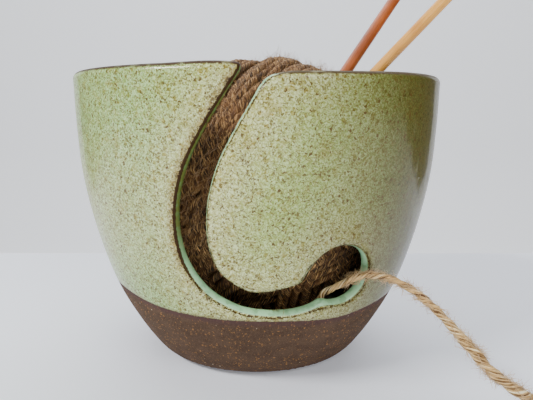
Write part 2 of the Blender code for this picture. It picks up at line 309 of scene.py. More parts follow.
def smooth_max(a, b, width):
    """The greater of two distances, eased where they are nearly equal."""
    overlap = np.maximum(width - np.abs(a - b), 0) / width
    return np.maximum(a, b) + overlap * overlap * width / 4


class BowlField:
    """How far a point is outside the bowl's clay, and where on the wall it is, in mm."""

    def __init__(self):
        section = wall_section()
        outer = outside_line()
        slot = slot_outline()
        half = (len(slot) - 1) // 2
        left_length = np.linalg.norm(np.diff(slot[:half], axis=0), axis=1).sum()

        def shell(points):
            distance = np.sqrt(nearest_on(section, points)[0])
            return np.where(inside_of(section, points), -distance, distance)

        def opening(points):
            distance = np.sqrt(nearest_on(slot, points)[0])
            return np.where(inside_of(slot, points), distance, -distance)

        self.shell = Map(*SECTION_BOX, shell)
        self.along = Map(*SECTION_BOX, lambda points: nearest_on(outer, points)[1])
        self.depth = Map(*SECTION_BOX, lambda points: np.sqrt(nearest_on(outer, points)[0]))
        low, high = slot.min(0) - SLOT_MARGINS[0], slot.max(0) + SLOT_MARGINS[1]
        self.slot = Map(low, high, opening)
        self.left = Map(low, high, lambda points: (nearest_on(slot, points)[1] < left_length).astype(float))
        self.hole = flat_place(np.array([HOLE_AZIMUTH]), up_the_wall(np.array([HOLE_HEIGHT])),
                               np.array([HOLE_HEIGHT]))[0]

    def places(self, points):
        """A point's azimuth, its (radius, height) on the section, and its place on the unrolled wall."""
        azimuth = np.degrees(np.arctan2(points[:, 0], -points[:, 1]))
        radius = np.hypot(points[:, 0], points[:, 1])
        height = points[:, 2].copy()
        for _ in range(2):
            share = smooth_step(height, RIM_EASE, RIM_HEIGHT)
            height = points[:, 2] - smooth_value(RIM_UNEVEN, azimuth) * share
        section_place = np.stack([radius, height], axis=1)
        along = self.along(np.stack([radius, points[:, 2]], axis=1))
        unrolled = flat_place(azimuth, along, np.interp(along, up_the_wall(outside_line()[:, 1]),
                                                        outside_line()[:, 1]))
        return azimuth, section_place, unrolled

    def opening(self, unrolled, depth):
        """How far a place is inside the slot or the hole. Their meeting point is wiped rounder outside."""
        in_hole = HOLE_RADIUS - np.linalg.norm(unrolled - self.hole, axis=1)
        rounding = np.interp(depth, (0.0, WALL), (WIPED_OUTSIDE, WIPED_INSIDE))
        return smooth_max(self.slot(unrolled), in_hole, rounding)

    def __call__(self, points):
        _, section_place, unrolled = self.places(points)
        opening = self.opening(unrolled, self.depth(section_place))
        return smooth_max(self.shell(section_place), opening, 2 * ARRIS)

    def gradient(self, points):
        """The direction away from the clay at each point, from differences over a short step."""
        step = 0.15
        sides = [self(points + offset) - self(points - offset) for offset in np.eye(3) * step]
        return np.stack(sides, axis=1) / (2 * step)


# ---------------- mesh helpers

def add_object(name, mesh, material=None):
    item = bpy.data.objects.new(name, mesh)
    bpy.context.scene.collection.objects.link(item)
    if material:
        mesh.materials.append(material)
    return item


def write_attribute(mesh, name, values):
    values = np.asarray(values, np.float32)
    kind, field = ("FLOAT", "value") if values.ndim == 1 else ("FLOAT_VECTOR", "vector")
    mesh.attributes.new(name, kind, "POINT").data.foreach_set(field, values.ravel())


def read_places(mesh):
    flat = np.zeros(3 * len(mesh.vertices), np.float32)
    mesh.vertices.foreach_get("co", flat)
    return flat.reshape(-1, 3).astype(float)


def quad_mesh(name, places, quads):
    """A smooth mesh from vertex places in mm and an array of four-cornered faces."""
    mesh = bpy.data.meshes.new(name)
    mesh.vertices.add(len(places))
    mesh.vertices.foreach_set("co", (places * MM).astype(np.float32).ravel())
    mesh.loops.add(4 * len(quads))
    mesh.loops.foreach_set("vertex_index", quads.astype(np.int32).ravel())
    mesh.polygons.add(len(quads))
    mesh.polygons.foreach_set("loop_start", np.arange(0, 4 * len(quads), 4, dtype=np.int32))
    mesh.update(calc_edges=True)
    mesh.shade_smooth()
    return mesh


def ring_frames(line, up=None):
    """Two unit vectors square to a line at each of its points, turning no more than the line does."""
    along = np.gradient(line, axis=0)
    along /= np.linalg.norm(along, axis=1)[:, None]
    if up is None:
        side = np.cross(along[0], (0.0, 0.0, 1.0))
        side = [side / np.linalg.norm(side)]
        for direction in along[1:]:
            carried = side[-1] - direction * (side[-1] @ direction)
            side.append(carried / np.linalg.norm(carried))
        side = np.array(side)
    else:
        side = np.cross(along, up)
        side /= np.linalg.norm(side, axis=1)[:, None]
    return along, side, np.cross(side, along)


class Tubes:
    """Tubes gathered into one mesh, with where each surface point lies along and round its tube."""

    def __init__(self, sides):
        self.sides = sides
        self.places = []
        self.fibre = []
        self.groove = []
        self.quads = []
        self.used = 0

    def add(self, line, radius, up=None, lobes=0, groove=0.0, pitch=9.0, phase=0.0):
        """radius is one value or one per point. The lobes are the plies, twisting one turn per pitch."""
        count = len(line)
        radius = np.broadcast_to(radius, count)
        length = np.concatenate([[0], np.cumsum(np.linalg.norm(np.diff(line, axis=0), axis=1))])
        angle = 2 * math.pi * np.arange(self.sides) / self.sides
        _, side, lift = ring_frames(line, up)
        twist = 2 * math.pi * length / pitch + phase
        hollow = np.zeros((count, self.sides))
        if lobes:
            hollow = 1 - np.abs(np.cos(lobes / 2 * (angle[None, :] - twist[:, None]))) ** 0.7
        ply = 1 - groove * hollow
        ring = (np.cos(angle)[None, :, None] * side[:, None, :]
                + np.sin(angle)[None, :, None] * lift[:, None, :])
        places = line[:, None, :] + ring * (radius[:, None] * ply)[:, :, None]
        turned = angle[None, :] - twist[:, None]
        lengths = np.broadcast_to(length[:, None], turned.shape)
        fibre = np.stack([lengths + 37.0 * phase, np.cos(turned), np.sin(turned)], axis=-1)
        self.fibre.append(fibre.reshape(-1, 3))
        self.places.append(places.reshape(-1, 3))
        self.groove.append(hollow.ravel())
        first = self.used + np.arange(count - 1)[:, None] * self.sides
        here = np.arange(self.sides)[None, :]
        beyond = (here + 1) % self.sides
        self.quads.append(np.stack([first + here, first + beyond, first + beyond + self.sides,
                                    first + here + self.sides], axis=-1).reshape(-1, 4))
        self.used += count * self.sides

    def make(self, name, material):
        mesh = quad_mesh(name, np.vstack(self.places), np.vstack(self.quads))
        write_attribute(mesh, "fibre", np.vstack(self.fibre))
        write_attribute(mesh, "groove", np.concatenate(self.groove))
        return add_object(name, mesh, material)


# ---------------- material helpers

def srgb(red, green, blue):
    """A display colour from 0 to 255 as the linear colour that a shader takes."""
    channels = [c / 255 for c in (red, green, blue)]
    return (*[c / 12.92 if c <= 0.04045 else ((c + 0.055) / 1.055) ** 2.4 for c in channels], 1.0)


# the glaze
SAGE = srgb(200, 220, 148)
SAGE_DEEP = srgb(182, 206, 126)
MINT_TINT_AND_SHEEN = srgb(152, 196, 138)
MILKY = srgb(212, 222, 168)
CREAM_TONE_AND_LIGHT = srgb(236, 228, 186)
OCHRE = srgb(168, 150, 66)
SHADE_OLIVE = srgb(82, 72, 2)
BLOTCH_TINT = srgb(206, 178, 104)
MOTTLE_TINT = srgb(196, 192, 144)
INSIDE_SHADE_TINT = srgb(172, 166, 120)
OLIVE_SPECK = srgb(98, 78, 26)
IRON_SPECK = srgb(88, 60, 16)
EDGE_HALO = srgb(158, 124, 62)
EDGE_SPECK = srgb(58, 36, 16)
EDGE_BROWN = srgb(56, 32, 14)
RIM_BROWN = srgb(66, 48, 12)
CELADON = srgb(166, 214, 166)
CELADON_DEEP = srgb(98, 146, 96)
SHADED_CUT = srgb(100, 108, 48)
THIN_GLAZE = srgb(132, 118, 78)

# the bare clay
CLAY = srgb(87, 68, 54)
CLAY_DEEP = srgb(75, 58, 46)
CLAY_PATCH = srgb(66, 46, 36)
GRIT = srgb(110, 88, 71)
RUST_SPECK = srgb(168, 120, 66)
PALE_SPECK = srgb(216, 196, 166)
DAMP_BAND = srgb(82, 60, 60)

# the jute: light, middle and dark fibres, and how wide their streaks are in mm. The ball's copy is darker,
# painted shade of the bowl's hollow; the working end's is lighter, painted light
SHADED_WOUND_JUTE = (srgb(250, 202, 134), srgb(108, 67, 28), srgb(16, 7, 2), 0.9)
LIT_WORKING_JUTE = (srgb(255, 246, 208), srgb(226, 184, 118), srgb(84, 50, 20), 1.6)
# the same jute's hairs: darker on the ball as painted shade, lighter on the working yarn as painted light
SHADED_BALL_HAIR = srgb(150, 106, 60)
LIT_YARN_HAIR = srgb(224, 190, 136)
DUSTY_HAIR = srgb(186, 148, 100)
CORE_DARK = srgb(66, 44, 26)
CORE_LIGHT = srgb(92, 64, 38)

# the needles: pale, warm and dark grain
WOODS = {
    "needle_left": ("dark_bamboo", srgb(180, 92, 32), srgb(154, 74, 22), srgb(90, 42, 16)),
    "needle_right": ("pale_bamboo", srgb(238, 172, 72), srgb(216, 144, 52), srgb(156, 94, 32)),
}

FLOOR_PAINT = srgb(226, 230, 240)
BACKDROP_PAINT = srgb(224, 226, 230)


class Shading:
    """One material's nodes. Each method adds a node and gives its output."""

    def __init__(self, name, **values):
        self.material = bpy.data.materials.new(name)
        self.material.use_nodes = True
        self.nodes = self.material.node_tree.nodes
        self.links = self.material.node_tree.links
        self.shader = self.nodes["Principled BSDF"]
        for socket, value in values.items():
            self.set(socket.replace("_", " ").title().replace("Ior", "IOR"), value)

    def set(self, socket, value):
        self.feed(self.shader.inputs[socket], value)

    def feed(self, socket, value):
        if isinstance(value, bpy.types.NodeSocket):
            self.links.new(value, socket)
        else:
            socket.default_value = value

    def node(self, kind, inputs, output=0, **settings):
        node = self.nodes.new("ShaderNode" + kind)
        for setting, value in settings.items():
            setattr(node, setting, value)
        for socket, value in inputs.items():
            self.feed(node.inputs[socket], value)
        return node.outputs[output]

    def place(self, stretch=(1, 1, 1)):
        """Place on the object in mm, squeezed by stretch along each axis."""
        scale = tuple(1 / (MM * s) for s in stretch)
        place = self.node("TexCoord", {}, "Object")
        return self.node("VectorMath", {0: place, 1: scale}, operation="MULTIPLY")

    def attribute(self, name, output="Fac"):
        return self.node("Attribute", {}, output, attribute_name=name)

    def noise(self, place, size, detail=2.0, roughness=0.5):
        """Cloudy values about 0.5, with features of this size."""
        return self.node("TexNoise", {"Vector": place, "Scale": 1 / size, "Detail": detail,
                                      "Roughness": roughness})

    def cells(self, place, size, output="Distance"):
        """Distance to the nearest of scattered points in units of size, or a random colour of its own."""
        return self.node("TexVoronoi", {"Vector": place, "Scale": 1 / size}, output)

    def math(self, operation, a, b=0.0, c=0.0):
        return self.node("Math", {0: a, 1: b, 2: c}, operation=operation)

    def step(self, value, low, high):
        """0 below low and 1 above high, or the other way round where low is the higher one."""
        return self.node("MapRange", {"Value": value, "From Min": low, "From Max": high},
                         interpolation_type="SMOOTHSTEP")

    def range(self, value, low, high, to_low, to_high):
        return self.node("MapRange", {"Value": value, "From Min": low, "From Max": high,
                                      "To Min": to_low, "To Max": to_high})

    def mix(self, share, a, b, blend="MIX"):
        return self.node("Mix", {0: share, 6: a, 7: b}, 2, data_type="RGBA", blend_type=blend)

    def share(self, value, amount):
        return self.math("MULTIPLY", value, amount)

    def cover(self, colour, where, amount, over, blend="MIX"):
        """A colour covered by another one where the value is 1, as strongly as the amount."""
        return self.mix(self.share(where, amount), colour, over, blend)

    def bump(self, height, depth):
        return self.node("Bump", {"Height": height, "Distance": depth * MM})


# ---------------- materials

def specks(s, place, size, smallest, largest, softness=0.07):
    """Round specks, one to a cell at most, from smallest to largest in radius. 1 on a speck."""
    chance = s.node("SeparateColor", {0: s.cells(place, size, "Color")}, 0)
    radius = s.range(chance, 0.0, 1.0, smallest / size, largest / size)
    return s.step(s.math("SUBTRACT", radius, s.cells(place, size)), 0.0, softness)


def broken_edges(s, place, ragged):
    """How brown the glaze breaks, 0 to 1: along the cut's outside and round the rim."""
    left = s.attribute("left_edge")
    outside = s.step(s.attribute("depth"), 3.6, 2.6)
    middle = s.range(left, 0, 1, 0.45, -0.2)
    half_width = s.math("ADD", s.range(left, 0, 1, 0.12, 0.72), s.share(ragged, 0.36))
    off_line = s.math("ABSOLUTE", s.math("SUBTRACT", s.attribute("from_arris"), middle))
    line = s.step(off_line, s.math("ADD", half_width, 0.25), half_width)
    whole = s.step(s.noise(place, 5.0, 2), 0.34, 0.48)
    line = s.share(line, s.range(s.math("MAXIMUM", left, whole), 0, 1, 0.35, 0.97))
    rim = s.step(s.math("ADD", s.attribute("rim_drop"), s.share(ragged, 0.3)), 1.35, 0.8)
    rim = s.share(rim, s.range(whole, 0, 1, 0.75, 0.97))
    return s.share(s.math("MAXIMUM", line, rim), outside)


def glaze_field(s, place, warped, arris):
    """Sage glaze, mintier on the left from its own tint and a painted sky reflection, darkened to olive on
    the right by painted shade, crowded with olive and iron specks.
    """
    across = s.node("SeparateXYZ", {0: place}, 0)
    patches = s.step(s.noise(place, 24, 2), 0.36, 0.64)
    left_side = s.step(across, 0.0, -45.0)
    right_shade_ramp = s.step(across, 2.0, 60.0)
    milky = s.step(s.noise(warped, 0.8, 2, 0.6), 0.48, 0.62)
    near_edge = s.step(arris, 20.0, 2.0)
    clouds = s.step(s.noise(warped, 3.4, 3, 0.6), 0.5, 0.68)
    blotches = specks(s, warped, 2.0, -0.1, 0.95, 0.16)
    mottle = s.step(s.noise(warped, 0.62, 2, 0.6), 0.42, 0.56)
    fine_specks = specks(s, warped, 0.78, 0.05, 0.46)
    iron_specks = specks(s, warped, 1.6, -0.12, 0.58)

    colour = s.mix(patches, SAGE, SAGE_DEEP)
    # the glaze's own mint tint mixed with a painted sky reflection, which also tones down the window-lit
    # left side
    colour = s.cover(colour, left_side, 0.62, MINT_TINT_AND_SHEEN)
    colour = s.cover(colour, milky, 0.5, MILKY)
    # paler glaze near the openings, partly its own tone and partly painted light that brightens the tongue
    colour = s.cover(colour, near_edge, 0.46, CREAM_TONE_AND_LIGHT)
    colour = s.cover(colour, clouds, 0.4, OCHRE)
    # painted shade: the right side, away from the window, darkened to olive
    colour = s.cover(colour, right_shade_ramp, 0.92, SHADE_OLIVE)
    colour = s.cover(colour, blotches, 0.75, BLOTCH_TINT, "MULTIPLY")
    colour = s.cover(colour, mottle, 0.95, MOTTLE_TINT, "MULTIPLY")
    colour = s.cover(colour, fine_specks, 0.8, OLIVE_SPECK)
    return s.cover(colour, iron_specks, 0.9, IRON_SPECK)


def glaze_colour(s, place, warped, brown):
    """The glaze, browned near the slot's left edge, pooling to celadon in the cuts, with painted shade on
    the upper left cut face, and darker inside from thicker glaze and painted shade in the hollow.
    """
    arris = s.attribute("from_arris")
    left = s.attribute("left_edge")
    up = s.node("SeparateXYZ", {0: place}, 2)

    halo = s.share(left, s.step(arris, 4.0, 0.8))
    fringe = s.step(arris, s.range(left, 0, 1, 2.0, 3.4), 0.4)
    colour = s.cover(glaze_field(s, place, warped, arris), halo, 0.5, EDGE_HALO)
    colour = s.cover(colour, specks(s, warped, 0.7, 0.1, 0.5), fringe, EDGE_SPECK)

    # painted shade: the upper part of the slot's left cut face, facing away from the window, turns olive
    cut = s.mix(s.share(left, s.step(up, 42.0, 66.0)), CELADON, SHADED_CUT)
    cut = s.cover(cut, s.step(s.noise(place, 2.4, 3), 0.46, 0.66), 0.42, CELADON_DEEP)
    colour = s.mix(s.step(arris, -0.25, -0.7), colour, cut)
    # painted shade in the bowl's hollow, together with the thicker glaze there
    inside = s.step(s.attribute("depth"), 3.9, 4.9)
    colour = s.mix(inside, colour, INSIDE_SHADE_TINT, "MULTIPLY")
    return s.mix(brown, colour, s.mix(left, RIM_BROWN, EDGE_BROWN))


def clay_colour(s, place, warped, above):
    """Bare brown stoneware with rust and pale specks, darker and redder where it meets the glaze."""
    streaks = s.step(s.noise(s.place((1, 1, 0.5)), 9, 3, 0.6), 0.35, 0.65)
    patches = s.step(s.noise(place, 0.8, 2), 0.5, 0.7)
    grit = s.step(s.noise(place, 0.45, 2), 0.45, 0.62)
    clay = s.mix(streaks, CLAY, CLAY_DEEP)
    clay = s.cover(clay, patches, 0.35, CLAY_PATCH)
    clay = s.cover(clay, grit, 0.4, GRIT)
    clay = s.cover(clay, specks(s, warped, 0.95, -0.12, 0.4), 0.75, RUST_SPECK)
    clay = s.cover(clay, specks(s, place, 2.8, -0.4, 0.38), 0.9, PALE_SPECK)
    return s.cover(clay, s.step(above, -3.4, -0.8), 0.6, DAMP_BAND)


def glaze_relief(s, place, above, glazed):
    """Slow throwing rings, fine pitting, the glaze's thickness at its lower border and the clay's grain."""
    throwing_rings = s.share(s.noise(s.place((1, 1, 0.12)), 34, 1), 0.45)
    pitting = s.share(s.noise(place, 1.1, 2), 0.04)
    glaze_step = s.share(s.step(above, -0.3, 0.5), 0.9)
    grain = s.share(s.noise(place, 0.45, 2), s.range(glazed, 0, 1, 0.25, 0.0))
    return s.math("ADD", s.math("ADD", throwing_rings, pitting), s.math("ADD", glaze_step, grain))


def glaze_material():
    """Speckled glaze down to a ragged border, bare clay below it, and brown where the glaze breaks."""
    s = Shading("speckled_glaze", specular_ior_level=0.1, coat_roughness=0.15)
    place = s.place()
    drift = s.node("TexNoise", {"Vector": place, "Scale": 1 / 0.9, "Detail": 2.0}, 1)
    warped = s.node("VectorMath", {0: drift, 1: (1.9, 1.9, 1.9), 2: place}, operation="MULTIPLY_ADD")
    ragged = s.share(s.math("SUBTRACT", s.noise(place, 0.8, 3, 0.6), 0.5), 4.0)
    above = s.math("ADD", s.attribute("above_line"), s.share(ragged, 0.22))
    glazed = s.step(above, -0.12, 0.12)
    brown = broken_edges(s, place, ragged)
    colour = glaze_colour(s, place, warped, brown)
    colour = s.cover(colour, s.step(above, 1.3, 0.2), 0.45, THIN_GLAZE)
    s.set("Base Color", s.mix(glazed, clay_colour(s, place, warped, above), colour))
    s.set("Roughness", s.range(glazed, 0, 1, 0.85, 0.5))
    s.set("Coat Weight", s.share(glazed, s.range(brown, 0, 1, 0.62, 0.0)))
    s.set("Normal", s.bump(glaze_relief(s, place, above, glazed), 0.4))
    return s.material


def jute_material(name, light, middle, dark, streak):
    """Streaks of light and dark fibre that follow the twist of the plies."""
    s = Shading(name, roughness=0.8, sheen_weight=0.25, sheen_roughness=0.4, sheen_tint=light)
    fibre = s.attribute("fibre", "Vector")
    drawn_out = s.node("VectorMath", {0: fibre, 1: (0.2, 3.2, 3.2)}, operation="MULTIPLY")
    streaks = s.noise(drawn_out, streak, 4.0, 0.7)
    colour = s.mix(s.step(streaks, 0.42, 0.56), dark, middle)
    colour = s.mix(s.step(streaks, 0.53, 0.64), colour, light)
    colour = s.cover(colour, s.step(s.noise(s.place(), 7.0, 3), 0.45, 0.68), 0.45, middle)
    # painted shade in the grooves between the plies
    colour = s.cover(colour, s.step(s.attribute("groove"), 0.55, 1.0), 0.6, dark)
    s.set("Base Color", colour)
    s.set("Normal", s.bump(streaks, 0.5))
    return s.material


def hair_material(name, colour):
    s = Shading(name, roughness=0.6, sheen_weight=0.3)
    s.set("Base Color", s.mix(s.noise(s.place(), 5.0, 1), colour, DUSTY_HAIR))
    return s.material


def core_material():
    s = Shading("ball_core_shadow", roughness=0.95)
    # painted shade: the core's dark colour stands for the shade deep between the strands
    s.set("Base Color", s.mix(s.noise(s.place(), 2.5, 3), CORE_DARK, CORE_LIGHT))
    return s.material


def bamboo_material(name, needle, pale, warm, dark):
    """Satin wood with its grain along the needle."""
    point, direction = NEEDLES[needle]
    turn = Vector(direction).to_track_quat("Z", "Y").to_euler()
    s = Shading(name, roughness=0.42, coat_weight=0.25, coat_roughness=0.25)
    lengthwise = s.node("Mapping", {"Vector": s.place(), "Location": point, "Rotation": turn,
                                    "Scale": (0.28, 0.28, 14.0)}, vector_type="TEXTURE")
    grain = s.noise(lengthwise, 1.0, 3.0, 0.6)
    cloudy = s.noise(s.place(), 16.0, 2)
    colour = s.mix(s.step(cloudy, 0.35, 0.65), pale, warm)
    colour = s.cover(colour, s.step(grain, 0.52, 0.74), 0.65, dark)
    s.set("Base Color", colour)
    s.set("Normal", s.bump(grain, 0.05))
    return s.material


# ---------------- bowl

def make_bowl():
    """The bowl's clay as a fine mesh on the distance field, its cut edges rounded by the glaze."""
    coarse = add_object("bowl_blank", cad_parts["bowl"].data.copy())
    remesh = coarse.modifiers.new("remesh", "REMESH")
    remesh.mode = "VOXEL"
    remesh.voxel_size = VOXEL * MM
    thinned = coarse.modifiers.new("thinned", "DECIMATE")
    bpy.context.view_layer.update()
    thinned.show_viewport = False
    quads = len(coarse.evaluated_get(bpy.context.evaluated_depsgraph_get()).data.polygons)
    thinned.show_viewport = True
    thinned.ratio = BOWL_TRIANGLES / (2 * quads)
    bpy.context.view_layer.update()
    evaluated = coarse.evaluated_get(bpy.context.evaluated_depsgraph_get())
    mesh = bpy.data.meshes.new_from_object(evaluated)
    bpy.data.objects.remove(coarse, do_unlink=True)

    field = BowlField()
    places = read_places(mesh) / MM
    for _ in range(SNAP_PASSES):
        gradient = field.gradient(places)
        steepness = np.maximum((gradient * gradient).sum(1), 0.05)
        move = np.clip(field(places) / steepness, -SNAP_LIMIT, SNAP_LIMIT)
        places -= gradient * move[:, None]
    mesh.vertices.foreach_set("co", (places * MM).astype(np.float32).ravel())
    mesh.update()
    mesh.shade_smooth()

    azimuth, section_place, unrolled = field.places(places)
    depth = field.depth(section_place)
    from_face = np.maximum(np.minimum(depth, WALL - depth), 0)
    write_attribute(mesh, "from_arris", -field.opening(unrolled, depth) - from_face)
    write_attribute(mesh, "depth", depth)
    write_attribute(mesh, "left_edge", field.left(unrolled) * smooth_step(places[:, 2], *LEFT_LINE_FADE))
    write_attribute(mesh, "rim_drop", RIM_HEIGHT - section_place[:, 1])
    line = np.where(depth < WALL - 1.0, smooth_value(GLAZE_LINE, azimuth), GLAZED_WHOLLY)
    write_attribute(mesh, "above_line", places[:, 2] - line)
    mesh.materials.clear()
    bowl = add_object("glazed_bowl", mesh, glaze_material())
    bowl.data.name = "glazed_bowl"
    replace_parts(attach(bowl, "bowl"), "bowl")
    return bowl


# ---------------- yarn ball

def unit(vector):
    return vector / np.linalg.norm(vector)


def part_at_needles(places):
    """Strands move aside so that each needle passes between them."""
    for point, direction in NEEDLES.values():
        direction = unit(np.array(direction))
        offset = places - np.array(point)
        along = offset @ direction
        across = offset - along[:, None] * direction
        distance = np.maximum(np.linalg.norm(across, axis=1), 0.05)
        wanted = (distance ** 3 + NEEDLE_ROOM ** 3) ** (1 / 3)
        wanted = np.where(along < NEEDLE_PARTING, wanted, distance)
        places = places + across * (wanted / distance - 1)[:, None]
    return places


class Winding:
    """Yarn wound on a ball turn by turn, each turn lying on those before it."""

    CELLS = 26000                        # directions at which the ball's height is kept
    REACH = 0.42 * YARN / BALL_RADIUS    # how far to the side a strand feels what is under it
    WINDOW = 7                           # points over which a taut strand bridges hollows

    def __init__(self):
        index = np.arange(self.CELLS) + 0.5
        polar = np.arccos(1 - 2 * index / self.CELLS)
        turn = math.pi * (1 + 5 ** 0.5) * index
        self.directions = np.stack([np.cos(turn) * np.sin(polar), np.sin(turn) * np.sin(polar),
                                    np.cos(polar)], axis=1)
        self.height = WINDING_START + self.unevenness(self.directions)
        self.tree = KDTree(self.CELLS)
        for i, direction in enumerate(self.directions):
            self.tree.insert(direction, i)
        self.tree.balance()

    def unevenness(self, directions):
        """A hand-wound ball isn't quite round: it is fuller at the top and a little flat low on one side."""
        return (FULL_RISE * smooth_step(directions @ unit(FULL_SIDE), 0.7, 0.97)
                - FLAT_DEPTH * smooth_step(directions @ unit(FLAT_SIDE), 0.7, 1.0))

    def lay(self, directions):
        """Centre line of a strand pulled taut over the ball along these directions from its middle."""
        near = [[i for _, i, _ in self.tree.find_range(d, self.REACH)] for d in directions]
        under = np.array([self.height[cells].max() if cells else WINDING_START for cells in near])
        window = self.WINDOW
        spread = np.pad(under, window, mode="edge")
        bridged = np.max([spread[k:k + len(under)] for k in range(2, 2 * window - 1)], axis=0)
        mean = np.pad(0.35 * bridged + 0.65 * under, window, mode="edge")
        for _ in range(2):
            mean = np.convolve(mean, np.ones(2 * window + 1) / (2 * window + 1), mode="same")
        limit = BALL_RADIUS - 0.45 * YARN + self.unevenness(directions)
        wanted = mean[window:-window] + NESTING * YARN
        radius = np.minimum(wanted, limit)
        for r, cells in zip(radius, near):
            if cells:
                self.height[cells] = np.maximum(self.height[cells], min(r + NESTING * YARN, BALL_RADIUS))
        return BALL_CENTRE + directions * radius[:, None]


def band_directions(axis, turns, middle, chance):
    """A band of nearly parallel turns about an axis, as directions from the ball's middle."""
    helper = unit(np.cross(axis, (0.3, 0.9, 0.2)))
    other = np.cross(axis, helper)
    lean = np.clip(middle / BALL_RADIUS, -0.9, 0.9)
    count = int(2 * math.pi * BALL_RADIUS * math.sqrt(1 - lean ** 2) * turns / STRAND_STEP)
    turn = np.linspace(0, 2 * math.pi * turns, count)
    slow = np.cumsum(chance.normal(0, 0.03, count))
    wobble = 0.5 * np.sin(turn * 0.37 + chance.uniform(0, 6)) + slow - np.linspace(0, slow[-1], count)
    offset = middle + (turn / (2 * math.pi) - turns / 2) * TURN_PITCH * YARN + wobble
    lean = np.clip(offset / BALL_RADIUS, -0.93, 0.93)
    start = chance.uniform(0, 2 * math.pi)
    flat = np.cos(turn + start)[:, None] * helper + np.sin(turn + start)[:, None] * other
    return flat * np.sqrt(1 - lean ** 2)[:, None] + axis * lean[:, None]


def band_list(chance):
    """Inner bands spread evenly over all directions, then those seen from outside."""
    index = np.arange(INNER_BANDS) + 0.5
    height = index / INNER_BANDS
    turn = math.pi * (1 + 5 ** 0.5) * index * 3
    bands = [((math.cos(a) * math.sqrt(1 - h * h), math.sin(a) * math.sqrt(1 - h * h), h), INNER_TURNS, 0.0)
             for a, h in zip(turn, height)]
    chance.shuffle(bands)
    return bands + OUTER_BANDS


def make_ball():
    """The ball as strands wound band over band round a core. Gives the strands' centre lines."""
    chance = np.random.default_rng(11)
    winding = Winding()
    material = jute_material("shaded_wound_jute", *SHADED_WOUND_JUTE)
    strands = []
    groups = []
    for number, (axis, turns, middle) in enumerate(band_list(chance)):
        band = band_directions(unit(np.array(axis)), turns, middle, chance)
        line = part_at_needles(winding.lay(band))
        ends = np.minimum(np.arange(len(line)), np.arange(len(line))[::-1])
        line = line - (line - BALL_CENTRE) * (TUCK * np.clip(1 - ends / TUCK_POINTS, 0, 1))[:, None]
        strands.append(line)
        if number % BANDS_IN_A_PIECE == 0:
            groups.append(Tubes(STRAND_SIDES))
        thickness = 0.5 * YARN * (1 + 0.1 * np.sin(np.arange(len(line)) * 0.021 + number))
        groups[-1].add(line, thickness, up=line - BALL_CENTRE, lobes=2, groove=0.22, phase=number * 0.7)
    for number, group in enumerate(groups):
        piece = group.make(f"ball_winding_{number + 1}", material)
        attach(piece, "ball")
        if number == 0:
            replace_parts(piece, "yarn_ball")
    make_ball_core()
    return strands


def make_ball_core():
    """A plain dark ball under the strands, so that no gap between them shows daylight."""
    shape = bmesh.new()
    bmesh.ops.create_icosphere(shape, subdivisions=5, radius=(WINDING_START + 1.2) * MM)
    bmesh.ops.translate(shape, verts=shape.verts, vec=Vector(BALL_CENTRE) * MM)
    mesh = bpy.data.meshes.new("ball_core")
    shape.to_mesh(mesh)
    shape.free()
    mesh.shade_smooth()
    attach(add_object("ball_core", mesh, core_material()), "ball")


def stray_fibres(name, roots, outward, along, count, longest, lift, seed, colour):
    """Fine hairs that leave the yarn's surface and curl away along it."""
    chance = np.random.default_rng(seed)
    hairs = Tubes(HAIR_SIDES)
    for pick in chance.integers(0, len(roots), count):
        length = chance.uniform(0.35, 1.0) * longest
        heading = along[pick] * chance.choice((-1, 1)) + outward[pick] * chance.uniform(0.1, 1.0) * lift
        heading = unit(heading + chance.normal(0, 0.35, 3))
        curl = np.cross(heading, chance.normal(0, 1, 3)) * chance.uniform(0.0, 0.35)
        place = roots[pick]
        line = [place]
        for _ in range(HAIR_STEPS):
            place = place + heading * length / HAIR_STEPS
            line.append(place)
            heading = unit(heading + curl)
        line = np.array(line)
        line[:, 2] = np.maximum(line[:, 2], HAIR_LIFT)
        radius = np.linspace(1.0, 0.45, HAIR_STEPS + 1) * chance.uniform(0.045, 0.085)
        hairs.add(line, radius)
    return hairs.make(name, hair_material(name + "_hair", colour))


def make_ball_fuzz(strands):
    """Stray fibres on the strands that lie at the ball's surface."""
    line = np.vstack(strands[-len(OUTER_BANDS):])
    along = np.gradient(line, axis=0)
    along /= np.linalg.norm(along, axis=1)[:, None] + 1e-9
    outward = (line - BALL_CENTRE) / np.linalg.norm(line - BALL_CENTRE, axis=1)[:, None]
    surface = line + outward * NESTING * YARN
    depth = BALL_RADIUS - np.linalg.norm(surface - BALL_CENTRE, axis=1)
    shown = (outward[:, 2] > HAIRY_ABOVE) & (depth < HAIRY_DEPTH)
    fuzz = stray_fibres("ball_fuzz", surface[shown], outward[shown], along[shown], count=7600, longest=7.0,
                        lift=0.4, seed=5, colour=SHADED_BALL_HAIR)
    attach(fuzz, "ball")


# ---------------- working yarn

def coil_line():
    """Nearly four turns, two of them lying on the other two, entered by the yarn from the bowl."""
    degrees = np.arange(0, COIL_END, 3.0)
    lead_radius = ROUTE[-1][1] - COIL_CENTRE[1]
    lead_height = ROUTE[-1][2]
    settled = smooth_step(degrees, 0, LANE_CHANGE)
    moving_in = math.pi / 2 * np.clip((degrees - COIL_MOVES_IN) / LANE_CHANGE, 0, 1)
    climbing = math.pi / 2 * np.clip((degrees - COIL_CLIMBS) / LANE_CHANGE, 0, 1)
    moving_out = smooth_step(degrees, *COIL_MOVES_OUT)

    radius = np.full(len(degrees), COIL_OUTER)
    radius += (lead_radius - COIL_OUTER) * (1 - settled)
    radius += (COIL_INNER - COIL_OUTER) * (1 - np.cos(moving_in))
    radius += (COIL_OUTER - COIL_INNER) * moving_out
    height = np.full(len(degrees), YARN / 2)
    height += YARN * np.sin(climbing)
    height += (lead_height - YARN / 2) * (1 - settled)
    turn = np.radians(degrees)
    ring = np.stack([radius * np.sin(turn), radius * np.cos(turn), height], axis=1)
    return COIL_CENTRE + ring


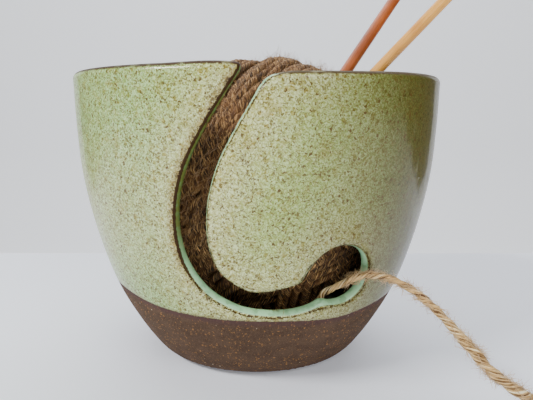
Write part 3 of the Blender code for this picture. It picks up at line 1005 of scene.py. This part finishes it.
def make_working_yarn():
    """The yarn's end as one plied strand, from the ball over the lip to the end of the coil."""
    line = even_spacing(np.vstack([smooth_curve(ROUTE, YARN_STEP), coil_line()[1:]]), YARN_STEP)
    along = np.arange(len(line)) * YARN_STEP
    unevenness = 1 + 0.05 * np.sin(along * 0.31) + 0.03 * np.sin(along * 0.83 + 1)
    radius = 0.5 * YARN * smooth_value(YARN_THICKNESS, along) * unevenness
    radius[-len(CUT_END):] *= CUT_END
    line[:, 2] = np.maximum(line[:, 2], radius)
    yarn = Tubes(YARN_SIDES)
    yarn.add(line, radius, lobes=2, groove=0.38, pitch=12.5)
    piece = yarn.make("working_yarn_strand", jute_material("lit_working_jute", *LIT_WORKING_JUTE))
    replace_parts(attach(piece, "bowl"), "working_yarn", "yarn_coil")

    direction, side, lift = ring_frames(line)
    chance = np.random.default_rng(3)
    angle = chance.uniform(0, 2 * math.pi, len(line))
    outward = np.cos(angle)[:, None] * side + np.sin(angle)[:, None] * lift
    roots = line + outward * (0.85 * radius)[:, None]
    fuzz = stray_fibres("working_yarn_fuzz", roots[FUZZY], outward[FUZZY], direction[FUZZY], count=2400,
                        longest=4.5, lift=0.6, seed=8, colour=LIT_YARN_HAIR)
    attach(fuzz, "bowl")


# ---------------- needles

def dress_needles():
    """The needles keep their CAD meshes and get wood as their material."""
    for needle, (slot, pale, warm, dark) in WOODS.items():
        material = bamboo_material(slot + "_wood", needle, pale, warm, dark)
        for part in ("_shaft", "_cap"):
            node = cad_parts[needle + part]
            node.data.materials.clear()
            node.data.materials.append(material)


# ---------------- stage

def stage_piece(name, corners, faces, colour, glow):
    """A plain surface of the room, which also gives off a little light of its own."""
    mesh = bpy.data.meshes.new(name)
    mesh.from_pydata(corners, [], faces)
    mesh.shade_smooth()
    s = Shading(name + "_paint", roughness=0.7, base_color=colour, emission_color=colour,
                emission_strength=glow)
    add_object(name, mesh, s.material)


def soft_light(name, azimuth, elevation, distance, width, height, power, colour):
    """An area light aimed at the bowl's middle."""
    data = bpy.data.lights.new(name, "AREA")
    data.shape = "RECTANGLE"
    data.size = width
    data.size_y = height
    data.energy = power
    data.color = colour
    turn = math.radians(azimuth)
    rise = math.radians(elevation)
    away = Vector((math.sin(turn) * math.cos(rise), -math.cos(turn) * math.cos(rise), math.sin(rise)))
    light = bpy.data.objects.new(name, data)
    light.location = Vector((0, 0, 0.06)) + away * distance
    light.rotation_mode = "QUATERNION"
    light.rotation_quaternion = away.to_track_quat("Z", "Y")
    bpy.context.scene.collection.objects.link(light)


def make_sweep():
    """A backdrop that starts below the table's back edge and curves up behind it."""
    profile = [(-0.3, -0.45), (0.9, -0.45), (1.15, -0.40), (1.32, -0.26), (1.4, 0.0), (1.4, 4.0)]
    corners = [(x, y, z) for y, z in profile for x in (-1.4, 1.4)]
    faces = [(k, k + 1, k + 3, k + 2) for k in range(0, len(corners) - 2, 2)]
    stage_piece("backdrop", corners, faces, BACKDROP_PAINT, 0.69)


def make_stage():
    """Table, backdrop and soft daylight, none of which is part of the object."""
    corners = [(-9, -14, 0), (9, -14, 0), (9, FLOOR_BACK, 0), (-9, FLOOR_BACK, 0)]
    stage_piece("floor", corners, [(0, 1, 2, 3)], FLOOR_PAINT, 0.24)
    make_sweep()
    soft_light("window", azimuth=-57, elevation=38, distance=1.2, width=0.46, height=0.12, power=15,
               colour=WARM_DAYLIGHT)
    soft_light("room", azimuth=24, elevation=34, distance=1.3, width=0.9, height=0.6, power=9,
               colour=WARM_DAYLIGHT)
    soft_light("ceiling", azimuth=172, elevation=66, distance=1.6, width=2.4, height=1.8, power=30,
               colour=COOL_DAYLIGHT)
    world = bpy.data.worlds.new("studio")
    world.use_nodes = True
    background = world.node_tree.nodes["Background"].inputs
    background["Color"].default_value = WORLD_COLOUR
    background["Strength"].default_value = WORLD_STRENGTH
    bpy.context.scene.world = world


def make_camera():
    data = bpy.data.cameras.new("camera")
    data.lens = CAMERA_LENS
    data.shift_x = CAMERA_SHIFT
    camera = bpy.data.objects.new("camera", data)
    camera.location = CAMERA_PLACE
    camera.rotation_euler = (math.radians(90 - CAMERA_PITCH), 0, 0)
    bpy.context.scene.collection.objects.link(camera)
    bpy.context.scene.camera = camera


make_camera()
make_working_yarn()
make_bowl()
make_ball_fuzz(make_ball())
dress_needles()
make_stage()
